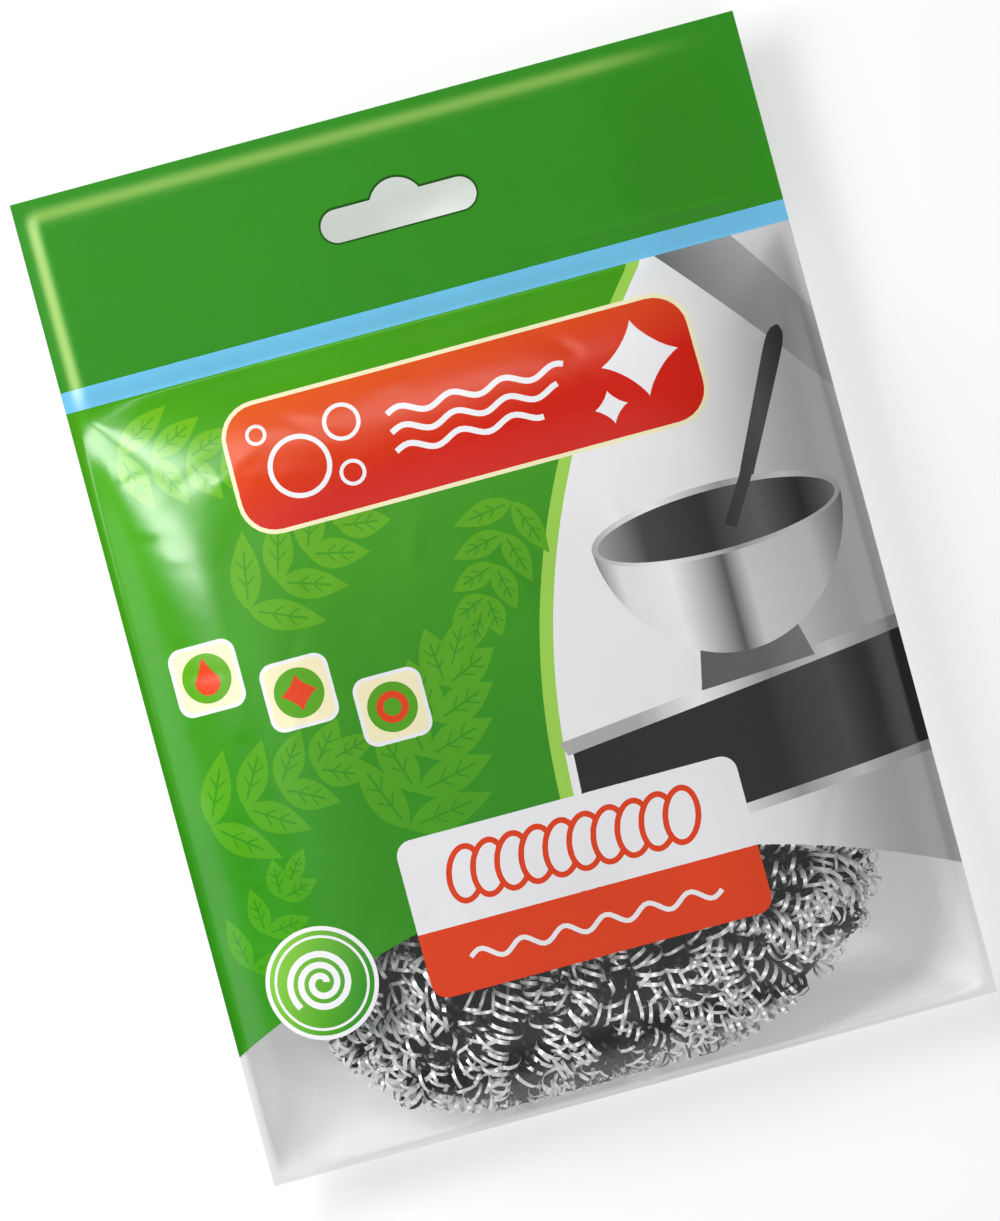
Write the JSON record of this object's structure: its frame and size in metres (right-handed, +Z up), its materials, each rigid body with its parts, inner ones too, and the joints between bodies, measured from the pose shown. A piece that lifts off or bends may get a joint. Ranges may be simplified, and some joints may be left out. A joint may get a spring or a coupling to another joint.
{
  "type": "pot scrubber",
  "caption": "Spiral steel pot scrubber, loose in a pillow-shaped film pouch whose flat header folds at its seal and has a hanging slot for a display hook.",
  "frame": {"origin": "on the table under the middle of the pack, which lies on its back", "axes": "+X across the pack, +Y along it towards the hanging header, +Z up through the printed front"},
  "size_m": [0.14, 0.19, 0.0248],
  "materials": {
    "print_film": "gloss",
    "plain_film": "gloss",
    "welded_film": "gloss",
    "steel_wire": "bright",
    "packed_wire": "bright"
  },
  "bodies": {
    "pouch": {"front_film": "print_film", "back_film": "plain_film", "left_side_weld": "welded_film", "right_side_weld": "welded_film", "bottom_weld": "welded_film", "header_seal": "welded_film"},
    "header": {"header_front_ply": "print_film", "header_back_ply": "plain_film"},
    "scourer": {"inner_strand_bundle": "packed_wire", "spiral_strand_1": "steel_wire", "spiral_strand_2": "steel_wire", "spiral_strand_3": "steel_wire", "spiral_strand_4": "steel_wire", "spiral_strand_5": "steel_wire", "spiral_strand_6": "steel_wire", "spiral_strand_7": "steel_wire", "spiral_strand_8": "steel_wire", "centre_tie": "steel_wire"}
  },
  "joints": [
    {"name": "header_fold", "type": "hinge", "parent": "pouch", "child": "header", "pos_m": [0, 0.0585, 0.0081], "axis": [1, 0, 0], "range_deg": [0, 140]},
    {"name": "scourer_slide", "type": "slide", "parent": "pouch", "child": "scourer", "axis": [0, 1, 0], "range_m": [0, 0.055]}
  ]
}
